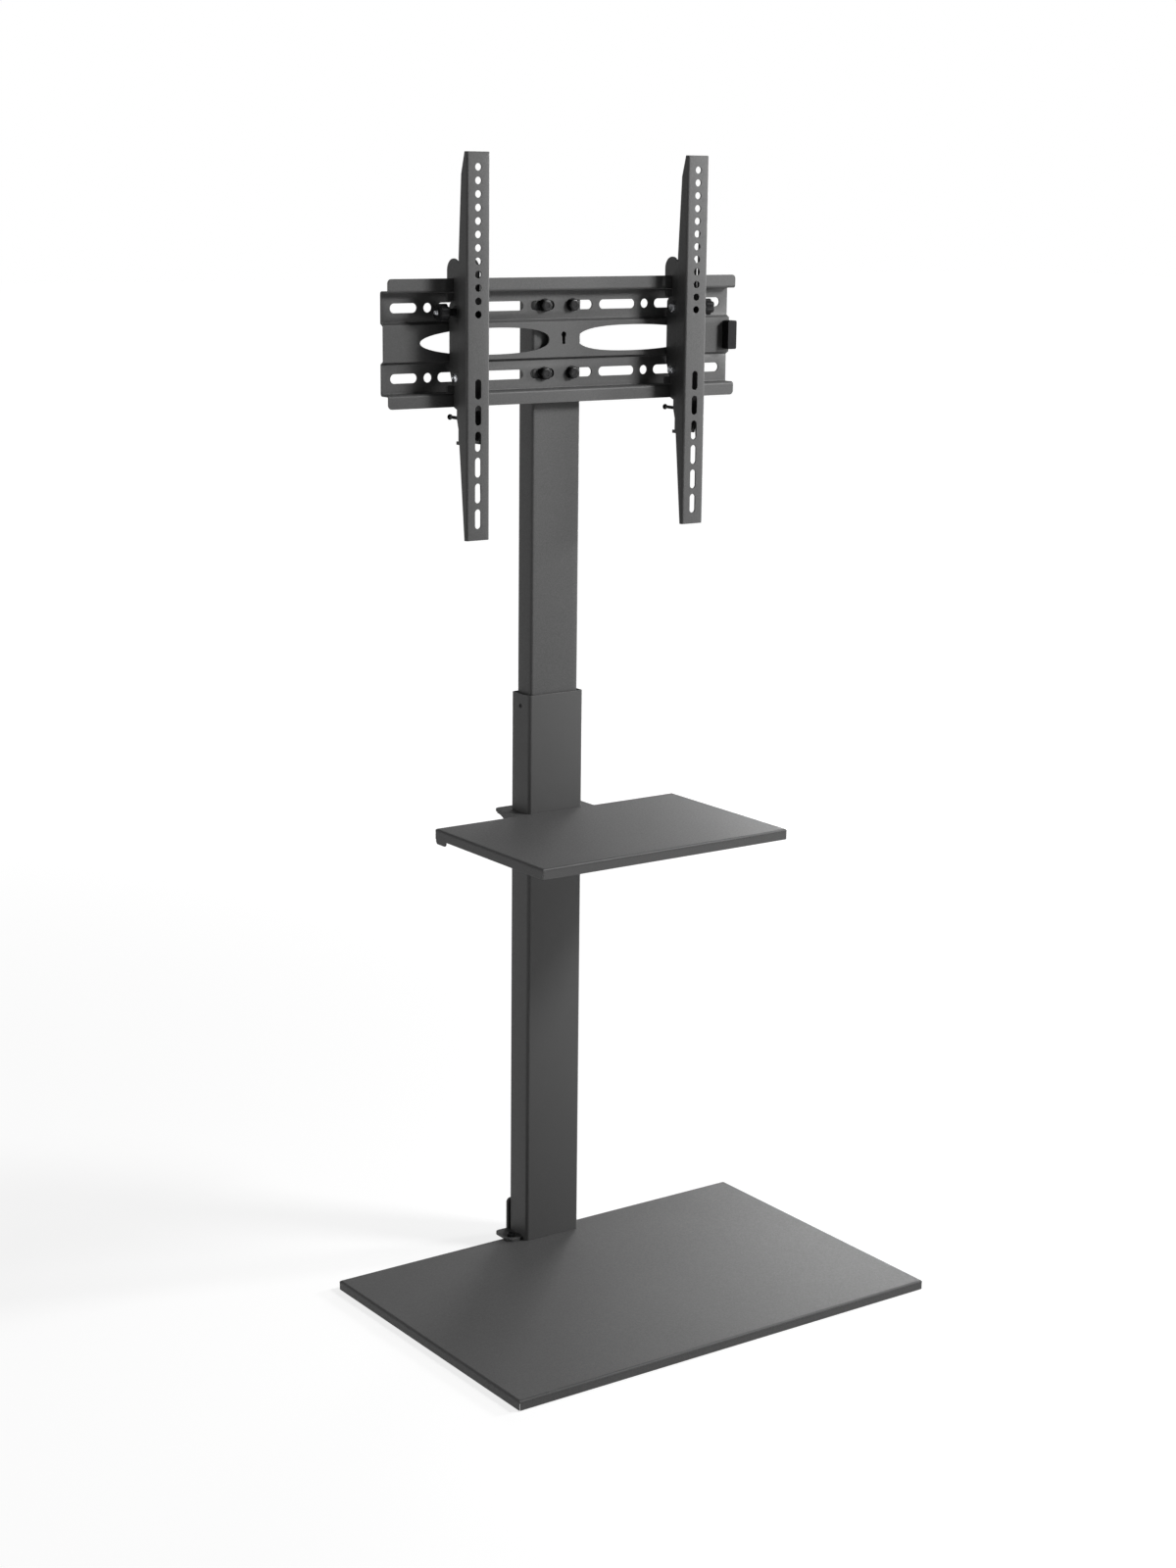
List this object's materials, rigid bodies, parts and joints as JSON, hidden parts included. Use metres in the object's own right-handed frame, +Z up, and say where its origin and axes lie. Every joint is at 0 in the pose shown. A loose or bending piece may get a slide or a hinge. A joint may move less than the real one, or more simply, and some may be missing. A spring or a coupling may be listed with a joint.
{
  "type": "tv stand with mount",
  "caption": "Floor stand for a flat screen: steel floor plate, telescopic column with a sliding shelf, and a slotted plate carrying tilting screen arms",
  "frame": {"origin": "on the floor, at the middle of the stand's width and of its whole depth, under the column's centre plane", "axes": "+X to the right seen from the screen side, +Y to the back, +Z up"},
  "size_m": [0.6, 0.428, 1.368],
  "materials": {
    "powder_coat": "dark grey powder coat, fine texture, matt",
    "black_plastic": "moulded black plastic, matt",
    "black_steel": "black oxide steel, satin",
    "bright_zinc": "bright zinc plated steel",
    "pad_rubber": "matt black rubber"
  },
  "bodies": {
    "stand": {"floor_plate": "powder_coat", "floor_plate_ribs": "powder_coat", "floor_plate_anchor": "powder_coat", "floor_pads": "pad_rubber", "foot_bracket": "powder_coat", "foot_bolt": "black_steel", "leg_bolts": "black_steel", "base_bolts": "black_steel", "lower_column": "powder_coat", "column_foot_block": "powder_coat", "column_bush": "black_plastic", "lock_screws": "black_steel"},
    "shelf": {"shelf_tray": "powder_coat", "shelf_bracket": "powder_coat", "shelf_studs": "bright_zinc", "shelf_nuts": "bright_zinc", "clamp_screws": "black_steel"},
    "mast": {"upper_column": "powder_coat", "mast_guide": "black_plastic", "mast_cap": "black_plastic", "wall_plate": "powder_coat", "plate_bolts": "black_steel", "plate_washers": "black_steel", "plate_nuts": "bright_zinc", "end_cap": "black_plastic"},
    "left_hanger": {"hanger_left": "powder_coat", "safety_screw_left": "black_steel"},
    "right_hanger": {"hanger_right": "powder_coat", "safety_screw_right": "black_steel"},
    "left_arm": {"screen_arm_left": "powder_coat", "pivot_bolt_left": "bright_zinc", "pivot_nut_left": "bright_zinc", "tilt_bolt_left": "bright_zinc"},
    "right_arm": {"screen_arm_right": "powder_coat", "pivot_bolt_right": "bright_zinc", "pivot_nut_right": "bright_zinc", "tilt_bolt_right": "bright_zinc"},
    "left_knob": {"tilt_knob_left": "black_plastic"},
    "right_knob": {"tilt_knob_right": "black_plastic"}
  },
  "joints": [
    {"name": "shelf_height", "type": "slide", "parent": "stand", "child": "shelf", "axis": [0, 0, 1], "range_m": [-0.35, 0.1]},
    {"name": "mast_height", "type": "slide", "parent": "stand", "child": "mast", "axis": [0, 0, 1], "range_m": [-0.2, 0.1]},
    {"name": "left_hanger_shift", "type": "slide", "parent": "mast", "child": "left_hanger", "axis": [1, 0, 0], "range_m": [-0.08, 0.07]},
    {"name": "right_hanger_shift", "type": "slide", "parent": "mast", "child": "right_hanger", "axis": [1, 0, 0], "range_m": [-0.09, 0.055]},
    {"name": "left_tilt", "type": "hinge", "parent": "left_hanger", "child": "left_arm", "pos_m": [-0.144, 0.139, 1.113], "axis": [1, 0, 0], "range_deg": [-3, 10]},
    {"name": "left_knob_turn", "type": "hinge", "parent": "left_arm", "child": "left_knob", "pos_m": [-0.144, 0.1395, 1.188], "axis": [1, 0, 0], "continuous": true},
    {"name": "right_tilt", "type": "hinge", "parent": "right_hanger", "child": "right_arm", "pos_m": [0.17, 0.139, 1.113], "axis": [1, 0, 0], "range_deg": [-3, 10]},
    {"name": "right_knob_turn", "type": "hinge", "parent": "right_arm", "child": "right_knob", "pos_m": [0.17, 0.1395, 1.188], "axis": [1, 0, 0], "continuous": true}
  ]
}
